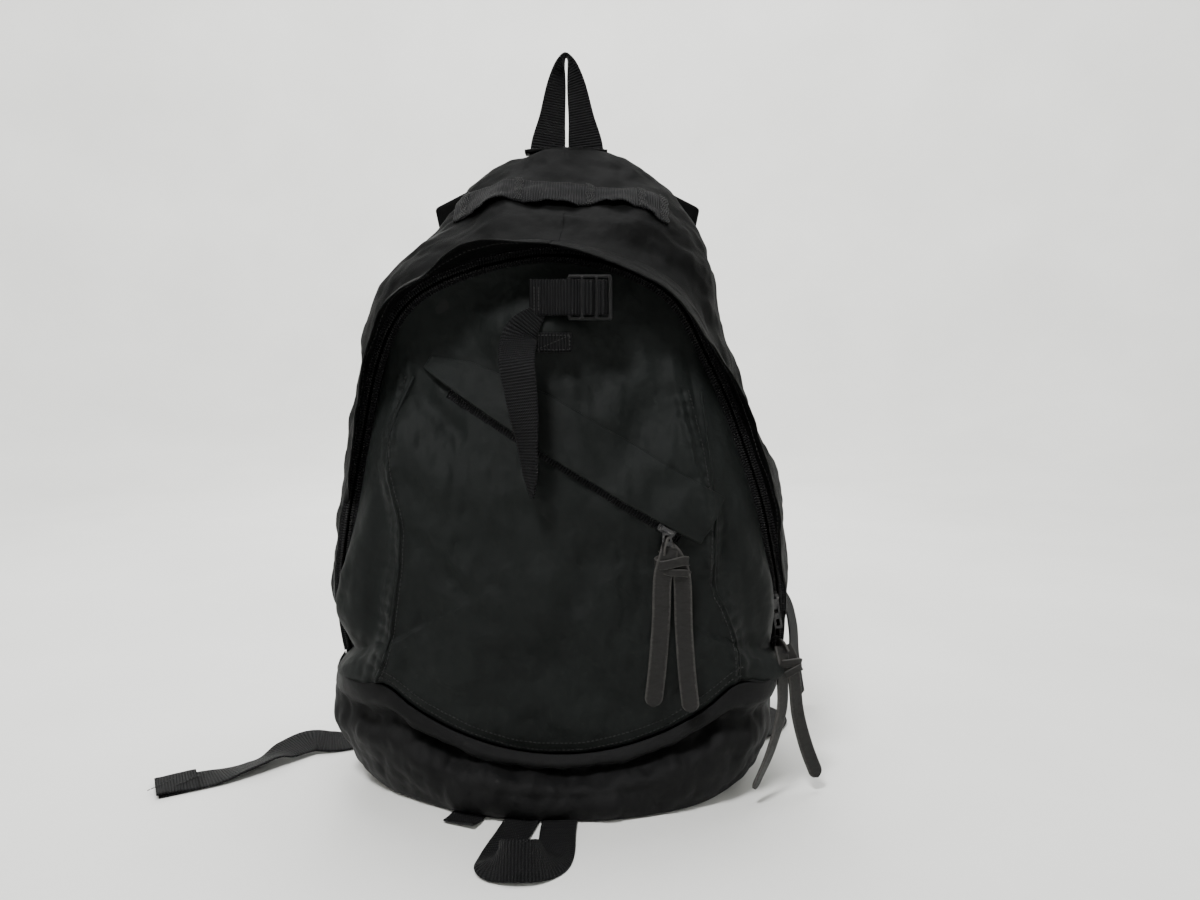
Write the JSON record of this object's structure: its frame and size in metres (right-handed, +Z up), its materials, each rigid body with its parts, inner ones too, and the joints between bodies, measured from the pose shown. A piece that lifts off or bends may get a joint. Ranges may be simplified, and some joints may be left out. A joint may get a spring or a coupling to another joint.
{
  "type": "ski backpack",
  "caption": "Teardrop panel-loading daypack with a hooded main zip, diagonal front pocket, webbing loops, shoulder straps and waist belt.",
  "frame": {"origin": "centre of the base's flat rest face", "axes": "+Z up from the base towards the haul loop, front pocket facing -Y, shoulder straps at +Y, +X to the right seen from the front"},
  "size_m": [0.5301, 0.327, 0.574],
  "materials": {
    "nylon_shell": "matte plain-weave nylon",
    "lining": "coated inner face",
    "foam": "closed-cell foam",
    "pad_fabric": "padded nylon over foam",
    "webbing": "ribbed nylon webbing",
    "thread": "bonded sewing thread",
    "zip_coil": "nylon coil on woven tape",
    "buckle_plastic": "moulded acetal",
    "slider_metal": "black painted zinc",
    "leather": "waxed black leather with worn edges"
  },
  "bodies": {
    "pack_body": {"crown_panel": "nylon_shell", "side_panel_left": "nylon_shell", "side_panel_right": "nylon_shell", "base_panel": "nylon_shell", "base_front_panel": "nylon_shell", "back_lining": "lining", "back_foam": "foam", "back_panel": "nylon_shell", "hood_flap": "nylon_shell", "main_zip_outer_tape": "zip_coil", "lash_strip": "webbing", "lash_strip_bartacks": "thread", "haul_loop_anchor": "webbing", "back_pad": "pad_fabric", "lumbar_pad": "pad_fabric", "inner_sleeve": "lining", "sleeve_binding": "webbing", "strap_wing_left": "nylon_shell", "strap_wing_right": "nylon_shell", "strap_anchor_left": "webbing", "strap_anchor_right": "webbing", "belt_anchor_left": "webbing", "belt_anchor_right": "webbing", "base_webbing_stub": "webbing"},
    "front_door": {"door_shell": "nylon_shell", "door_lining": "lining", "main_zip_inner_tape": "zip_coil", "pocket_flap": "nylon_shell", "pocket_zip_upper_tape": "zip_coil", "pocket_zip_lower_tape": "zip_coil", "lash_webbing": "webbing", "lash_buckle": "buckle_plastic", "lash_backing": "webbing", "lash_keeper": "webbing"},
    "pocket_slider": {"pocket_slider": "slider_metal"},
    "pocket_pull": {"pocket_slider_tab": "slider_metal", "pocket_leather_pull": "leather"},
    "lash_tail": {"lash_tail": "webbing"},
    "upper_slider": {"upper_main_slider": "slider_metal"},
    "upper_tab": {"upper_slider_tab": "slider_metal"},
    "lower_slider": {"lower_main_slider": "slider_metal"},
    "lower_pull": {"lower_leather_pull": "leather"},
    "haul_loop": {"haul_loop": "webbing"},
    "base_loop": {"base_loop": "webbing"},
    "shoulder_strap_left": {"shoulder_pad_left": "pad_fabric", "strap_adjuster_left": "buckle_plastic", "strap_webbing_left": "webbing"},
    "shoulder_strap_right": {"shoulder_pad_right": "pad_fabric", "strap_adjuster_right": "buckle_plastic", "strap_webbing_right": "webbing"},
    "strap_tail_left": {"strap_tail_left": "webbing"},
    "strap_tail_right": {"strap_tail_right": "webbing"},
    "waist_belt_left": {"waist_belt_left": "webbing", "belt_end_left": "webbing"},
    "waist_belt_right": {"waist_belt_right": "webbing", "belt_end_right": "webbing"}
  },
  "joints": [
    {"name": "door_fold", "type": "hinge", "parent": "pack_body", "child": "front_door", "pos_m": [0, -0.088, 0.042], "axis": [1, 0, 0], "range_deg": [0, 75]},
    {"name": "pocket_zip_slide", "type": "slide", "parent": "front_door", "child": "pocket_slider", "axis": [-0.8526, 0, 0.5225], "range_m": [0, 0.165]},
    {"name": "pocket_pull_swing", "type": "hinge", "parent": "pocket_slider", "child": "pocket_pull", "pos_m": [0.07362, -0.0924, 0.20111], "axis": [-1, 0, 0], "range_deg": [0, 80]},
    {"name": "lash_tail_swing", "type": "hinge", "parent": "front_door", "child": "lash_tail", "pos_m": [-0.025, -0.0858, 0.358], "axis": [-1, 0, 0], "range_deg": [0, 50]},
    {"name": "upper_slider_run", "type": "slide", "parent": "pack_body", "child": "upper_slider", "axis": [-0.1498, -0.2993, 0.9423], "range_m": [0, 0.018]},
    {"name": "upper_tab_swing", "type": "hinge", "parent": "upper_slider", "child": "upper_tab", "pos_m": [0.15968, -0.04038, 0.14305], "axis": [-1, 0, 0], "range_deg": [0, 80]},
    {"name": "lower_slider_run", "type": "slide", "parent": "pack_body", "child": "lower_slider", "axis": [-0.1498, -0.2993, 0.9423], "range_m": [0, 0.015]},
    {"name": "lower_pull_swing", "type": "hinge", "parent": "lower_slider", "child": "lower_pull", "pos_m": [0.17838, -0.048, 0.106], "axis": [0, -1, 0], "range_deg": [0, 60]},
    {"name": "haul_loop_swing", "type": "hinge", "parent": "pack_body", "child": "haul_loop", "pos_m": [0, 0.0675, 0.4992], "axis": [1, 0, 0], "range_deg": [-75, 90]},
    {"name": "base_loop_swing", "type": "hinge", "parent": "pack_body", "child": "base_loop", "pos_m": [-0.012, -0.085, 0.0012], "axis": [-1, 0, 0], "range_deg": [0, 20]},
    {"name": "left_strap_swing", "type": "hinge", "parent": "pack_body", "child": "shoulder_strap_left", "pos_m": [-0.142, 0.0935, 0.026], "axis": [0.1746, 0.0011, 0.9846], "range_deg": [0, 12]},
    {"name": "right_strap_swing", "type": "hinge", "parent": "pack_body", "child": "shoulder_strap_right", "pos_m": [0.142, 0.0935, 0.026], "axis": [0.1746, -0.0011, -0.9846], "range_deg": [0, 12]},
    {"name": "left_tail_swing", "type": "hinge", "parent": "shoulder_strap_left", "child": "strap_tail_left", "pos_m": [-0.08, 0.1115, 0.135], "axis": [1, 0, 0], "range_deg": [0, 60]},
    {"name": "right_tail_swing", "type": "hinge", "parent": "shoulder_strap_right", "child": "strap_tail_right", "pos_m": [0.1, 0.1215, 0.138], "axis": [0, -1, 0], "range_deg": [0, 40]},
    {"name": "left_belt_swing", "type": "hinge", "parent": "pack_body", "child": "waist_belt_left", "pos_m": [-0.166, 0.049, 0.0012], "axis": [0, 0, 1], "range_deg": [-20, 25]},
    {"name": "right_belt_swing", "type": "hinge", "parent": "pack_body", "child": "waist_belt_right", "pos_m": [0.166, 0.05, 0.0012], "axis": [0, 0, -1], "range_deg": [0, 100]}
  ]
}
